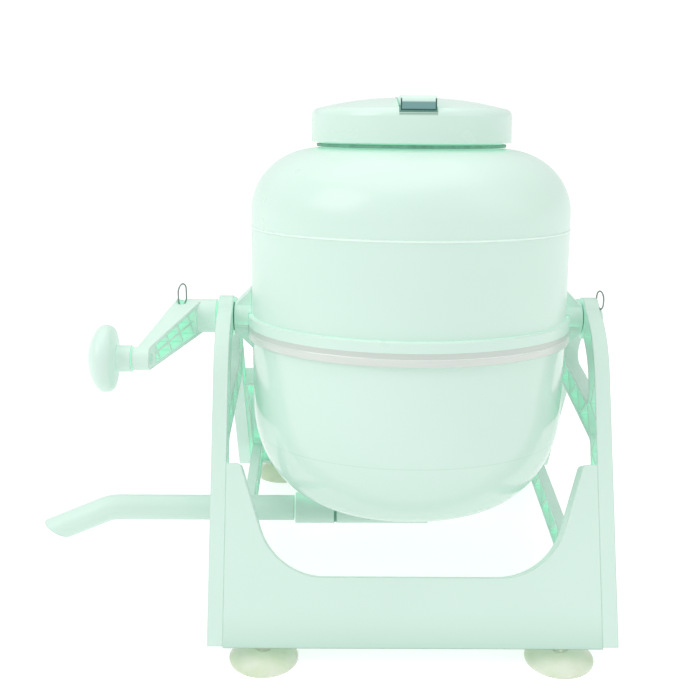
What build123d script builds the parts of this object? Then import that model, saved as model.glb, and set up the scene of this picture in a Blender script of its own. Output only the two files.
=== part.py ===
"""Hand-cranked tabletop washer: a sealed drum that tumbles on two trunnions in an A-shaped stand."""

import os
from math import cos, radians, sin, tan

from build123d import *

os.makedirs("parts", exist_ok=True)

# Frame: origin at the centre of the footprint on the table, X along the drum's axle to the
# right (the crank is on the left), Y to the back, Z up. Lengths in millimetres.

# Stand
PIVOT_Z = 228.0          # axle height above the table
FRAME_OUT = 159.0        # outer face of a side frame, from the middle
FRAME_DEEP = 12.0        # depth of the side frame's channel section
FRAME_WEB = 3.0
FRAME_RIM = 2.6
LEG_LEAN = radians(29.5)
LEG_WIDE = 24.0
ARCH_R = 75.0
ARCH_Z = 166.0           # centre of the arch
FOOT_Z = 16.5            # underside of the stand
BAR_MID = (147.0, 170.0)  # cross bar, lower and upper edge
RAIL_Z = (22.0, 46.0)    # base rail, lower and upper edge
RAIL_OUT = 143.7
RAIL_DEEP = 9.0
RAIL_WALL = 2.2
TONGUE_TOP = 33.0        # top of the rail's tongues inside the panels
HUB_R = 17.5
RIB = 2.0
PANEL_HALF = FRAME_OUT - FRAME_DEEP - 0.1
PANEL_SKIN = 3.0
PANEL_DEEP = 20.0
CUP_X = 116.0
CUP_Y = 158.5
CUP_R = 27.0

# Drum, as radius and height along its own axis from the axle
LEAN = radians(9.6)      # the drum rests leaning back by this much
WALL = 3.0
BODY_R = 131.5
FLANGE_R = 134.5
SEAM_A = 77.0
CORNER_A = 90.0          # where the shoulder starts
CORNER_RX = 56.2
CORNER_RA = 51.0
NECK_R = 74.2
MOUTH_R = 70.7
NECK_TOP = 162.0
BOWL_A = -71.0           # where the bowl's round bottom starts
BOWL_R = 130.4
BOWL_RX = 68.4
BOWL_RA = 85.5
FLANGE_TOP = 4.2
BAND_TOP = -4.6
BAND_LOW = -15.0

# Axle and crank
AXLE_R = 7.5
BUSH_R = 10.0
CRANK_IN = 161.0         # inner end of the crank's hub
CRANK_THROW = 85.0
CRANK_DROP = radians(4.0)
PIN_WIRE_R = 0.65
PIN_X = {"left": 190.0, "right": 161.8}
AXLE_END = {"left": 196.0, "right": 164.2}
EYE_HALF = 6.2           # split pin's eye: half its width, half the straight part of its sides,
EYE_STRAIGHT = {"left": 3.1, "right": 1.5}
EYE_UP = {"left": 18.5, "right": 16.0}   # the height of its middle above the axle,
EYE_TURN = {"left": radians(25), "right": radians(-15)}   # and its turn from facing sideways
BUSH_COLLAR_R = 11.5
BUSH_COLLAR = 1.0

# Lid
LID_R = 81.8
LID_LOW = 145.8
LID_RIM = 172.5
LID_TOP = 181.4
LUG_WIDE = 22.0          # degrees

# Drain
DRAIN_A = -170.0         # axis of the drain pipe
DRAIN_R = 13.0
TUBE_R = 11.0
SOCKET_END = 95.0
TUBE_GAP = 1.2           # the tube rests this far short of its socket

PIVOT = (0, 0, PIVOT_Z)
UP = (0, sin(LEAN), cos(LEAN))
drum_axis = Axis(PIVOT, UP)
# Local x is the radius and local y is the height along the drum.
drum_profile = Plane(origin=PIVOT, x_dir=(1, 0, 0), z_dir=(0, -cos(LEAN), sin(LEAN)))
# Local x is the drum's front to back and local y is the height along the drum.
drum_side = Plane(origin=PIVOT, x_dir=(0, cos(LEAN), -sin(LEAN)), z_dir=(1, 0, 0))


def across(height):
    """Plane across the drum at a height along its axis."""
    at = (0, height * sin(LEAN), PIVOT_Z + height * cos(LEAN))
    return Plane(origin=at, x_dir=(1, 0, 0), z_dir=UP)


def side_plane(x, z=0.0):
    """Plane facing +X, local x along Y and local y along Z."""
    return Plane(origin=(x, 0, z), x_dir=(0, 1, 0), z_dir=(1, 0, 0))


def inward_plane(side, x):
    """Plane on one side of the stand, facing the middle."""
    return Plane(origin=(side * x, 0, 0), x_dir=(0, -side, 0), z_dir=(-side, 0, 0))


def curved_bar(r_in, r_out, degrees):
    """Flat curved bar centred on local x."""
    half = radians(degrees / 2)
    with BuildSketch(Plane.XY) as bar:
        Circle(r_out)
        Circle(r_in, mode=Mode.SUBTRACT)
        far = 2 * r_out
        Polygon(
            (0, 0),
            (far * cos(half), -far * sin(half)),
            (far * cos(half), far * sin(half)),
            align=None,
            mode=Mode.INTERSECT,
        )
    return bar.sketch


SIDES = {"left": -1, "right": 1}

# ---------------------------------------------------------------- stand

leg_top_y = ARCH_R * cos(LEG_LEAN)
leg_top_z = ARCH_Z + ARCH_R * sin(LEG_LEAN)
leg_foot_y = leg_top_y + (leg_top_z - FOOT_Z) * tan(LEG_LEAN)


def leg_outer(z):
    return leg_top_y + (leg_top_z - z) * tan(LEG_LEAN)


def leg_inner(z):
    return leg_outer(z) - LEG_WIDE / cos(LEG_LEAN)


with BuildSketch() as frame_outline:
    with BuildLine():
        arch = ThreePointArc((-leg_top_y, leg_top_z), (0, ARCH_Z + ARCH_R), (leg_top_y, leg_top_z))
        Polyline(
            (leg_top_y, leg_top_z),
            (leg_foot_y, FOOT_Z),
            (leg_inner(FOOT_Z), FOOT_Z),
            (leg_inner(BAR_MID[0]), BAR_MID[0]),
            (-leg_inner(BAR_MID[0]), BAR_MID[0]),
            (-leg_inner(FOOT_Z), FOOT_Z),
            (-leg_foot_y, FOOT_Z),
            (-leg_top_y, leg_top_z),
        )
    make_face()
    fillet(frame_outline.vertices().filter_by(lambda v: abs(v.X) > leg_foot_y - 1), 1.5)
    fillet(frame_outline.vertices().filter_by(lambda v: abs(v.Y - BAR_MID[0]) < 0.1), 9.0)
    with BuildSketch(mode=Mode.PRIVATE) as upper_window:
        with BuildLine():
            inner_r = ARCH_R - LEG_WIDE
            top_y = inner_r * cos(LEG_LEAN)
            top_z = ARCH_Z + inner_r * sin(LEG_LEAN)
            ThreePointArc((-top_y, top_z), (0, ARCH_Z + inner_r), (top_y, top_z))
            Polyline(
                (top_y, top_z),
                (leg_inner(BAR_MID[1]), BAR_MID[1]),
                (-leg_inner(BAR_MID[1]), BAR_MID[1]),
                (-top_y, top_z),
            )
        make_face()
        fillet(upper_window.vertices().group_by(Axis.Y)[0], 9.0)
    add(upper_window.sketch, mode=Mode.SUBTRACT)


def zigzag(start, end, across_dir, half, count):
    """Corner points of a rib that runs from side to side of a channel."""
    points = []
    for i in range(count + 1):
        t = i / count
        swing = half if i % 2 else -half
        y = start[0] + (end[0] - start[0]) * t + across_dir[0] * swing
        z = start[1] + (end[1] - start[1]) * t + across_dir[1] * swing
        points.append((y, z))
    return points


def rib_runs():
    """Zigzag ribs of one side frame: two legs and the cross bar."""
    half = LEG_WIDE / 2
    middle = half / cos(LEG_LEAN)
    runs = []
    for hand in (-1, 1):
        start = (hand * (leg_outer(40) - middle), 40)
        end = (hand * (leg_outer(196) - middle), 196)
        runs.append(zigzag(start, end, (hand * cos(LEG_LEAN), sin(LEG_LEAN)), half, 9))
    low, high = BAR_MID
    mid = (low + high) / 2
    reach = leg_inner(mid)
    runs.append(zigzag((-reach, mid), (reach, mid), (0, 1), (high - low) / 2, 6))
    return runs


with BuildSketch() as frame_ribs:
    for run in rib_runs():
        for a, b in zip(run, run[1:]):
            with BuildLine(mode=Mode.PRIVATE) as rib_line:
                Line(a, b)
            trace(rib_line.line, RIB)
    add(frame_outline.sketch, mode=Mode.INTERSECT)

SCREW_R = 2.0
SCREW_HEAD_R = 4.2
SCREW_HEAD = 1.6
SCREW_BOSS_R = 5.0
SCREW_INSET = 12.0
SCREW_Z = (40.0, 112.0)  # heights of the two screws at each corner
screw_spots = [(facing * (leg_outer(z) - SCREW_INSET), z) for facing in (-1, 1) for z in SCREW_Z]

for name, side in SIDES.items():
    outer = inward_plane(side, FRAME_OUT)
    with BuildPart() as side_frame:
        with BuildSketch(outer):
            add(frame_outline.sketch)
        extrude(amount=FRAME_DEEP)
        with BuildSketch(inward_plane(side, FRAME_OUT - FRAME_WEB)):
            offset(frame_outline.sketch, amount=-FRAME_RIM, kind=Kind.INTERSECTION)
        extrude(amount=FRAME_DEEP - FRAME_WEB, mode=Mode.SUBTRACT)
        with BuildSketch(inward_plane(side, FRAME_OUT - FRAME_WEB)):
            add(frame_ribs.sketch)
        extrude(amount=FRAME_DEEP - FRAME_WEB - 1.0)
        with BuildSketch(outer):
            with Locations((0, PIVOT_Z)):
                Circle(HUB_R)
            with Locations(*screw_spots):
                Circle(SCREW_BOSS_R)
        extrude(amount=FRAME_DEEP)
        with BuildSketch(outer):
            with Locations((0, PIVOT_Z)):
                Circle(BUSH_R)
            with Locations(*screw_spots):
                Circle(SCREW_R)
        extrude(amount=FRAME_DEEP, mode=Mode.SUBTRACT)
        with BuildSketch(outer):
            with Locations(*screw_spots):
                Circle(SCREW_HEAD_R + 0.1)
        extrude(amount=SCREW_HEAD, mode=Mode.SUBTRACT)
    side_frame.part.label = f"side_frame_{name}"
    export_step(side_frame.part, f"parts/side_frame_{name}.step")

    with BuildPart() as hub_bush:
        with BuildSketch(inward_plane(side, FRAME_OUT)):
            with Locations((0, PIVOT_Z)):
                Circle(BUSH_R)
                Circle(AXLE_R + 0.06, mode=Mode.SUBTRACT)
        extrude(amount=FRAME_DEEP)
        with BuildSketch(inward_plane(side, FRAME_OUT + BUSH_COLLAR)):
            with Locations((0, PIVOT_Z)):
                Circle(BUSH_COLLAR_R)
                Circle(AXLE_R + 0.06, mode=Mode.SUBTRACT)
        extrude(amount=BUSH_COLLAR)
    hub_bush.part.label = f"hub_bush_{name}"
    export_step(hub_bush.part, f"parts/hub_bush_{name}.step")

# U-shaped panels between the side frames, front and rear. Local y runs down the slope, negated.
HORN_S = 72.0
HORN_X = 136.0
ARC_X = 119.5
ARC_S = 124.0
DIP_S = 160.5
CORNER_X = 106.5
BOSS_DEEP = 12.0
foot_s = (leg_top_z - FOOT_Z) / cos(LEG_LEAN)

with BuildSketch() as panel_outline:
    with BuildLine():
        Polyline(
            (-PANEL_HALF, -HORN_S),
            (-HORN_X, -HORN_S),
            (-ARC_X, -ARC_S),
            (-CORNER_X, -DIP_S),
            (CORNER_X, -DIP_S),
            (ARC_X, -ARC_S),
            (HORN_X, -HORN_S),
            (PANEL_HALF, -HORN_S),
            (PANEL_HALF, -foot_s - PANEL_DEEP),
            (-PANEL_HALF, -foot_s - PANEL_DEEP),
            close=True,
        )
    make_face()
    fillet(panel_outline.vertices().filter_by(lambda v: abs(v.Y + DIP_S) < 0.1), 54.0)
    fillet(panel_outline.vertices().filter_by(lambda v: abs(abs(v.X) - HORN_X) < 0.1), 4.0)


def panel_plane(facing, depth):
    """Sloping plane of the front (facing -1) or rear (facing 1) panel, at a depth behind its face."""
    y = facing * (leg_top_y - depth * cos(LEG_LEAN))
    at = (0, y, leg_top_z - depth * sin(LEG_LEAN))
    return Plane(origin=at, x_dir=(-facing, 0, 0), z_dir=(0, facing * cos(LEG_LEAN), sin(LEG_LEAN)))


for name, facing in (("front", -1), ("rear", 1)):
    with BuildPart() as panel:
        with BuildSketch(panel_plane(facing, 0)):
            add(panel_outline.sketch)
        extrude(amount=-PANEL_DEEP)
        with BuildSketch(panel_plane(facing, PANEL_SKIN)):
            offset(panel_outline.sketch, amount=-PANEL_SKIN, kind=Kind.INTERSECTION)
        extrude(amount=-PANEL_DEEP, mode=Mode.SUBTRACT)
        with BuildSketch(side_plane(-PANEL_HALF)):
            with BuildLine():
                Polyline(
                    (facing * (leg_outer(FOOT_Z) - 0.5), FOOT_Z),
                    (facing * (leg_outer(FOOT_Z + PANEL_SKIN) - 0.5), FOOT_Z + PANEL_SKIN),
                    (facing * (leg_foot_y - 26), FOOT_Z + PANEL_SKIN),
                    (facing * (leg_foot_y - 26), FOOT_Z),
                    close=True,
                )
            make_face()
        extrude(amount=2 * PANEL_HALF)
        with BuildSketch(Plane.XY.offset(FOOT_Z)):
            Rectangle(400, 500)
        extrude(amount=-60, mode=Mode.SUBTRACT)
        with BuildSketch(Plane.XY.offset(FOOT_Z)):
            with Locations((-CUP_X, facing * CUP_Y), (CUP_X, facing * CUP_Y)):
                Circle(4.0)
        extrude(amount=PANEL_SKIN, mode=Mode.SUBTRACT)
        for side in SIDES.values():
            spots = [(y, z) for y, z in screw_spots if y * facing > 0]
            boss_plane = side_plane(side * (PANEL_HALF - BOSS_DEEP))
            with BuildSketch(boss_plane):
                with Locations(*spots):
                    Circle(SCREW_BOSS_R)
            extrude(amount=side * BOSS_DEEP)
            with BuildSketch(boss_plane):
                with Locations(*spots):
                    Circle(SCREW_R)
            extrude(amount=side * BOSS_DEEP, mode=Mode.SUBTRACT)
    panel.part.label = f"{name}_panel"
    export_step(panel.part, f"parts/{name}_panel.step")

# Base rails from panel to panel. Their tongues lie inside the panels' hollow backs.


def behind_panel(z, depth):
    return leg_outer(z) - (depth + 0.2) / cos(LEG_LEAN)


rail_low, rail_high = RAIL_Z
rail_tongue = [
    (behind_panel(rail_low, PANEL_SKIN), rail_low),
    (behind_panel(TONGUE_TOP, PANEL_SKIN), TONGUE_TOP),
    (behind_panel(TONGUE_TOP, PANEL_DEEP), TONGUE_TOP),
    (behind_panel(rail_high, PANEL_DEEP), rail_high),
]
with BuildSketch() as rail_outline:
    with BuildLine():
        Polyline(*rail_tongue, *[(-y, z) for y, z in reversed(rail_tongue)], close=True)
    make_face()

rail_end = behind_panel(rail_high, PANEL_DEEP)
rail_mid = (rail_low + rail_high) / 2
rail_run = zigzag((-rail_end, rail_mid), (rail_end, rail_mid), (0, 1), (rail_high - rail_low) / 2, 12)
with BuildSketch() as rail_ribs:
    for a, b in zip(rail_run, rail_run[1:]):
        with BuildLine(mode=Mode.PRIVATE) as rib_line:
            Line(a, b)
        trace(rib_line.line, RIB)
    add(rail_outline.sketch, mode=Mode.INTERSECT)

for name, side in SIDES.items():
    with BuildPart() as base_rail:
        with BuildSketch(inward_plane(side, RAIL_OUT)):
            add(rail_outline.sketch)
        extrude(amount=RAIL_DEEP)
        with BuildSketch(inward_plane(side, RAIL_OUT - RAIL_WALL)):
            offset(rail_outline.sketch, amount=-RAIL_WALL, kind=Kind.INTERSECTION)
        extrude(amount=RAIL_DEEP - RAIL_WALL, mode=Mode.SUBTRACT)
        with BuildSketch(inward_plane(side, RAIL_OUT - RAIL_WALL)):
            add(rail_ribs.sketch)
        extrude(amount=RAIL_DEEP - RAIL_WALL - 1.0)
    base_rail.part.label = f"base_rail_{name}"
    export_step(base_rail.part, f"parts/base_rail_{name}.step")

for name, side in SIDES.items():
    for end, facing in (("front", -1), ("rear", 1)):
        at = Plane(origin=(side * CUP_X, facing * CUP_Y, 0), x_dir=(1, 0, 0), z_dir=(0, -1, 0))
        with BuildPart() as suction_cup:
            with BuildSketch(at):
                with BuildLine():
                    Polyline((CUP_R - 1.3, 0), (CUP_R, 0), (CUP_R, 0.9))
                    ThreePointArc((CUP_R, 0.9), (18.5, 5.4), (6.5, 9.2))
                    Polyline(
                        (6.5, 9.2),
                        (6.5, FOOT_Z),
                        (4.0, FOOT_Z),
                        (4.0, FOOT_Z + PANEL_SKIN),
                        (5.0, FOOT_Z + PANEL_SKIN),
                        (4.2, FOOT_Z + PANEL_SKIN + 3.0),
                        (0, FOOT_Z + PANEL_SKIN + 3.0),
                        (0, 5.6),
                    )
                    ThreePointArc((0, 5.6), (14.5, 3.9), (CUP_R - 1.3, 0))
                make_face()
            revolve(axis=Axis(at.origin, (0, 0, 1)))
        suction_cup.part.label = f"suction_cup_{end}_{name}"
        export_step(suction_cup.part, f"parts/suction_cup_{end}_{name}.step")

for name, side in SIDES.items():
    with BuildPart() as frame_screws:
        with BuildSketch(inward_plane(side, FRAME_OUT)):
            with Locations(*screw_spots):
                Circle(SCREW_HEAD_R)
        extrude(amount=SCREW_HEAD)
        chamfer(frame_screws.faces().group_by(Axis.X)[-1 if side > 0 else 0].edges(), 0.5)
        with BuildSketch(inward_plane(side, FRAME_OUT - SCREW_HEAD)):
            with Locations(*screw_spots):
                Circle(SCREW_R)
        extrude(amount=FRAME_DEEP + BOSS_DEEP - SCREW_HEAD - 2.0)
    frame_screws.part.label = f"frame_screws_{name}"
    export_step(frame_screws.part, f"parts/frame_screws_{name}.step")

# ---------------------------------------------------------------- drum shells

neck_lug = curved_bar(NECK_R - 1, NECK_R + 2.6, LUG_WIDE)

with BuildPart() as upper_shell:
    with BuildSketch(drum_profile):
        with BuildLine():
            Polyline(
                (BODY_R - WALL, BAND_TOP),
                (FLANGE_R, BAND_TOP),
                (FLANGE_R, FLANGE_TOP - 1.2),
                (FLANGE_R - 1.2, FLANGE_TOP),
                (BODY_R, FLANGE_TOP),
                (BODY_R, SEAM_A - 1.0),
                (BODY_R + 0.6, SEAM_A - 0.5),
                (BODY_R + 0.6, SEAM_A + 0.5),
                (BODY_R, SEAM_A + 1.0),
                (BODY_R, CORNER_A),
            )
            EllipticalCenterArc((BODY_R - CORNER_RX, CORNER_A), CORNER_RX, CORNER_RA, 0, arc_size=90)
            Polyline(
                (BODY_R - CORNER_RX, CORNER_A + CORNER_RA),
                (NECK_R, CORNER_A + CORNER_RA),
                (NECK_R, NECK_TOP),
                (MOUTH_R, NECK_TOP),
                (MOUTH_R, CORNER_A + CORNER_RA - WALL),
                (BODY_R - CORNER_RX, CORNER_A + CORNER_RA - WALL),
            )
            EllipticalCenterArc(
                (BODY_R - CORNER_RX, CORNER_A), CORNER_RX - WALL, CORNER_RA - WALL, 0, arc_size=90
            )
            Line((BODY_R - WALL, CORNER_A), (BODY_R - WALL, BAND_TOP))
        make_face()
    revolve(axis=drum_axis)
    # Four lugs on the neck that the lid's lugs turn under.
    with BuildSketch(across(150.4)):
        with PolarLocations(0, 4):
            add(neck_lug)
    extrude(amount=2.6)
upper_shell.part.label = "upper_shell"
export_step(upper_shell.part, "parts/upper_shell.step")

rim_r = FLANGE_R - 1.1    # rim of the bowl, inside the clamp band
wall_top = BODY_R - 0.3

with BuildPart() as lower_bowl:
    with BuildSketch(drum_profile):
        with BuildLine():
            Polyline(
                (wall_top - WALL, BAND_TOP - 3.0),
                (rim_r, BAND_TOP - 3.0),
                (rim_r, BAND_LOW + 1.2),
                (wall_top, BAND_LOW + 1.2),
                (wall_top, BAND_LOW - 2.0),
                (BOWL_R, BOWL_A),
            )
            EllipticalCenterArc((BOWL_R - BOWL_RX, BOWL_A), BOWL_RX, BOWL_RA, 270, arc_size=90)
            Polyline(
                (BOWL_R - BOWL_RX, BOWL_A - BOWL_RA),
                (0, BOWL_A - BOWL_RA),
                (0, BOWL_A - BOWL_RA + WALL),
                (BOWL_R - BOWL_RX, BOWL_A - BOWL_RA + WALL),
            )
            EllipticalCenterArc(
                (BOWL_R - BOWL_RX, BOWL_A), BOWL_RX - WALL, BOWL_RA - WALL, 270, arc_size=90
            )
            Line((BOWL_R - WALL, BOWL_A), (wall_top - WALL, BAND_TOP - 3.0))
        make_face()
    revolve(axis=drum_axis)
    with BuildSketch(across(BOWL_A - BOWL_RA)):
        Circle(8.0)
    extrude(amount=WALL + 1, mode=Mode.SUBTRACT)
lower_bowl.part.label = "lower_bowl"
export_step(lower_bowl.part, "parts/lower_bowl.step")


def drum_ring(points):
    """Solid of revolution about the drum's axis from a closed outline."""
    with BuildPart() as ring:
        with BuildSketch(drum_profile):
            with BuildLine():
                Polyline(*points, close=True)
            make_face()
        revolve(axis=drum_axis)
    return ring


def box_outline(r_in, r_out, low, high):
    return [(r_in, low), (r_out, low), (r_out, high), (r_in, high)]


body_gasket = drum_ring(box_outline(BODY_R - WALL + 1, rim_r, BAND_TOP - 3.0, BAND_TOP))
body_gasket.part.label = "body_gasket"
export_step(body_gasket.part, "parts/body_gasket.step")

clamp_band = drum_ring(
    [
        (rim_r, BAND_TOP),
        (FLANGE_R, BAND_TOP),
        (FLANGE_R, BAND_LOW),
        (wall_top, BAND_LOW),
        (wall_top, BAND_LOW + 1.2),
        (rim_r, BAND_LOW + 1.2),
    ]
)
clamp_band.part.label = "clamp_band"
export_step(clamp_band.part, "parts/clamp_band.step")

# ---------------------------------------------------------------- trunnions, axles and crank

TRUNNION_R = 14.0
TRUNNION_OUT = FRAME_OUT - FRAME_DEEP - 1.2
PIN_HOLE_R = 1.6

drum_envelope = drum_ring(
    [
        (0, -60),
        (wall_top + 0.1, -60),
        (wall_top + 0.1, BAND_LOW - 0.05),
        (FLANGE_R + 0.1, BAND_LOW - 0.05),
        (FLANGE_R + 0.1, FLANGE_TOP + 0.05),
        (BODY_R + 0.1, FLANGE_TOP + 0.05),
        (BODY_R + 0.1, 60),
        (0, 60),
    ]
)

for name, side in SIDES.items():
    with BuildPart() as trunnion:
        with BuildSketch(side_plane(side * 110, PIVOT_Z)):
            Circle(TRUNNION_R)
        extrude(amount=side * (TRUNNION_OUT - 110))
        # Ledge along the middle of the boss, and a gusset above and below it.
        with BuildSketch(side_plane(side * 110, PIVOT_Z)):
            with Locations((0, -3.5)):
                Rectangle(33, 3.0)
        extrude(amount=side * (TRUNNION_OUT - 3.0 - 110))
        with BuildSketch(Plane.XZ.offset(7.0)):
            with BuildLine():
                out = side * TRUNNION_OUT
                Polyline(
                    (out, PIVOT_Z + 11),
                    (side * (BODY_R - 8), PIVOT_Z + 34),
                    (side * (BODY_R - 8), PIVOT_Z - 34),
                    (out, PIVOT_Z - 11),
                    close=True,
                )
            make_face()
        extrude(amount=-14.0)
        add(drum_envelope.part, mode=Mode.SUBTRACT)
        with BuildSketch(side_plane(side * 130, PIVOT_Z)):
            Circle(AXLE_R)
        extrude(amount=side * (TRUNNION_OUT - 130), mode=Mode.SUBTRACT)
    trunnion.part.label = f"trunnion_{name}"
    export_step(trunnion.part, f"parts/trunnion_{name}.step")

    inner_end = BODY_R + 4.0
    with BuildPart() as axle:
        with BuildSketch(side_plane(side * inner_end, PIVOT_Z)):
            Circle(AXLE_R)
        extrude(amount=side * (AXLE_END[name] - inner_end))
        chamfer(axle.faces().sort_by(Axis.X)[0 if side < 0 else -1].edges(), 1.0)
        with BuildSketch(Plane.XY.offset(PIVOT_Z - 20)):
            with Locations((side * PIN_X[name], 0)):
                Circle(PIN_HOLE_R)
        extrude(amount=40, mode=Mode.SUBTRACT)
    axle.part.label = f"axle_{name}"
    export_step(axle.part, f"parts/axle_{name}.step")

    with BuildPart() as thrust_washer:
        with BuildSketch(side_plane(side * TRUNNION_OUT, PIVOT_Z)):
            Circle(12.0)
            Circle(AXLE_R, mode=Mode.SUBTRACT)
        extrude(amount=side * 0.9)
    thrust_washer.part.label = f"thrust_washer_{name}"
    export_step(thrust_washer.part, f"parts/thrust_washer_{name}.step")

    # Split pin: two legs through the axle and a tall eye above it.
    with BuildPart() as split_pin:
        eye = Plane(
            origin=(side * PIN_X[name], 0, PIVOT_Z + EYE_UP[name]),
            x_dir=(sin(EYE_TURN[name]), cos(EYE_TURN[name]), 0),
            z_dir=(cos(EYE_TURN[name]), -sin(EYE_TURN[name]), 0),
        )
        straight = EYE_STRAIGHT[name]
        with BuildLine(eye):
            Line((EYE_HALF, -straight), (EYE_HALF, straight))
            CenterArc((0, straight), EYE_HALF, 0, 180)
            Line((-EYE_HALF, straight), (-EYE_HALF, -straight))
            CenterArc((0, -straight), EYE_HALF, 180, 180)
        with BuildSketch(Plane(origin=eye.from_local_coords((EYE_HALF, -straight, 0)), z_dir=(0, 0, 1))):
            Circle(PIN_WIRE_R)
        sweep()
        with BuildSketch(Plane.XY.offset(PIVOT_Z - 14.0)):
            with Locations((side * PIN_X[name], -0.75), (side * PIN_X[name], 0.75)):
                Circle(PIN_WIRE_R)
        extrude(amount=23.6)
    split_pin.part.label = f"split_pin_{name}"
    export_step(split_pin.part, f"parts/split_pin_{name}.step")

# The crank arm reaches forward from the axle and outward along it.
ARM_ROOT = (173.0, 195.0)     # inner and outer side at the hub
ARM_TIP = (205.0, 215.0)
ARM_ROOT_H = 28.5
ARM_TIP_H = 18.0
ARM_WALL = 2.6
GRIP_IN = 218.0
grip_y = -CRANK_THROW * cos(CRANK_DROP)
grip_z = PIVOT_Z - CRANK_THROW * sin(CRANK_DROP)


def between(t, low, high):
    return low + (high - low) * t / CRANK_THROW


def arm_body(t0, t1, inset_in, inset):
    """Wedge of the crank arm, from its plan and its side outline, shrunk by the insets."""
    with BuildPart() as bar:
        with BuildSketch(Plane.XY.offset(PIVOT_Z - 40)):
            with BuildLine():
                Polyline(
                    (inset_in - between(t0, ARM_ROOT[0], ARM_TIP[0]), -t0),
                    (inset - between(t0, ARM_ROOT[1], ARM_TIP[1]), -t0),
                    (inset - between(t1, ARM_ROOT[1], ARM_TIP[1]), -t1),
                    (inset_in - between(t1, ARM_ROOT[0], ARM_TIP[0]), -t1),
                    close=True,
                )
            make_face()
        extrude(amount=80)
        with BuildSketch(side_plane(-240, PIVOT_Z)):
            Circle(ARM_ROOT_H / 2 - inset)
            with Locations((grip_y, grip_z - PIVOT_Z)):
                Circle(ARM_TIP_H / 2 - inset)
            make_hull()
        extrude(amount=80, mode=Mode.INTERSECT)
    return bar.part


arm_cavity = arm_body(12.5, CRANK_THROW - 8.0, 1.0, ARM_WALL)
with BuildPart() as arm_ribs:
    with BuildSketch(side_plane(-225, PIVOT_Z)):
        with Locations((grip_y / 2, (grip_z - PIVOT_Z) / 2)):
            Rectangle(CRANK_THROW, 1.8, rotation=4.0)
        with GridLocations(19.0, 1, 4, 1):
            with Locations((-44, -3)):
                Rectangle(1.6, 30, rotation=24)
    extrude(amount=50)
    add(arm_cavity, mode=Mode.INTERSECT)
    # The ribs stop a little below the open face.
    with BuildSketch(Plane.XY.offset(PIVOT_Z - 30)):
        with BuildLine():
            Polyline(
                (-ARM_ROOT[0] + 30, 5),
                (-ARM_ROOT[0] - 1.2, 5),
                (-ARM_TIP[0] - 1.2, -CRANK_THROW),
                (-ARM_TIP[0] + 30, -CRANK_THROW),
                close=True,
            )
        make_face()
    extrude(amount=60, mode=Mode.SUBTRACT)

arm_solid = arm_body(0, CRANK_THROW + ARM_TIP_H / 2, 0, 0)
with BuildPart() as crank_arm:
    add(arm_solid)
    with BuildSketch(side_plane(-ARM_ROOT[1], PIVOT_Z)):
        Circle(ARM_ROOT_H / 2)
    extrude(amount=ARM_ROOT[1] - CRANK_IN)
    with BuildSketch(side_plane(-GRIP_IN, PIVOT_Z)):
        with Locations((grip_y, grip_z - PIVOT_Z)):
            Circle(ARM_TIP_H / 2)
    extrude(amount=GRIP_IN - ARM_TIP[0])
    add(arm_cavity, mode=Mode.SUBTRACT)
    add(arm_ribs.part)
    with BuildSketch(side_plane(-AXLE_END["left"], PIVOT_Z)):
        Circle(AXLE_R)
    extrude(amount=AXLE_END["left"] - CRANK_IN, mode=Mode.SUBTRACT)
    with BuildSketch(Plane.XY.offset(PIVOT_Z - 20)):
        with Locations((-PIN_X["left"], 0)):
            SlotOverall(19.0, 8.0, rotation=90)
    extrude(amount=40, mode=Mode.SUBTRACT)
    with BuildSketch(side_plane(-GRIP_IN, PIVOT_Z)):
        with Locations((grip_y, grip_z - PIVOT_Z)):
            Circle(4.0)
    extrude(amount=GRIP_IN - ARM_TIP[0] + 2, mode=Mode.SUBTRACT)
crank_arm.part.label = "crank_arm"
export_step(crank_arm.part, "parts/crank_arm.step")

GRIP_OUT = 252.0
GRIP_R = 26.4
grip_profile = Plane(origin=(0, grip_y, grip_z), x_dir=(1, 0, 0), z_dir=(0, -1, 0))
grip_axis = Axis((0, grip_y, grip_z), (1, 0, 0))


def grip_turned(points_and_arcs):
    """Turned piece on the knob's axis, from a closed chain of lines and three-point arcs."""
    with BuildPart() as turned:
        with BuildSketch(grip_profile):
            with BuildLine():
                for piece in points_and_arcs:
                    if len(piece) == 3:
                        ThreePointArc(*piece)
                    else:
                        Line(*piece)
            make_face()
        revolve(axis=grip_axis)
    return turned


crank_knob = grip_turned(
    [
        ((-GRIP_IN - 1.0, 4.06), (-GRIP_IN - 1.0, 10.4)),
        ((-GRIP_IN - 1.0, 10.4), (-GRIP_IN - 12.5, 10.4)),
        ((-GRIP_IN - 12.5, 10.4), (-GRIP_IN - 13.4, 17.5), (-GRIP_IN - 15.0, 23.6)),
        ((-GRIP_IN - 15.0, 23.6), (-GRIP_IN - 20.5, GRIP_R), (-GRIP_IN - 26.5, 24.0)),
        ((-GRIP_IN - 26.5, 24.0), (-GRIP_IN - 31.4, 16.0), (-GRIP_OUT + 0.3, 7.0)),
        ((-GRIP_OUT + 0.3, 7.0), (-GRIP_OUT + 5.0, 7.0)),
        ((-GRIP_OUT + 5.0, 7.0), (-GRIP_OUT + 5.0, 4.06)),
        ((-GRIP_OUT + 5.0, 4.06), (-GRIP_IN - 1.0, 4.06)),
    ]
)
crank_knob.part.label = "crank_knob"
export_step(crank_knob.part, "parts/crank_knob.step")

knob_washer = grip_turned(
    [
        ((-GRIP_IN, 4.02), (-GRIP_IN, 8.0)),
        ((-GRIP_IN, 8.0), (-GRIP_IN - 0.7, 8.0)),
        ((-GRIP_IN - 0.7, 8.0), (-GRIP_IN - 0.7, 4.02)),
        ((-GRIP_IN - 0.7, 4.02), (-GRIP_IN, 4.02)),
    ]
)
knob_washer.part.label = "knob_washer"
export_step(knob_washer.part, "parts/knob_washer.step")

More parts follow.
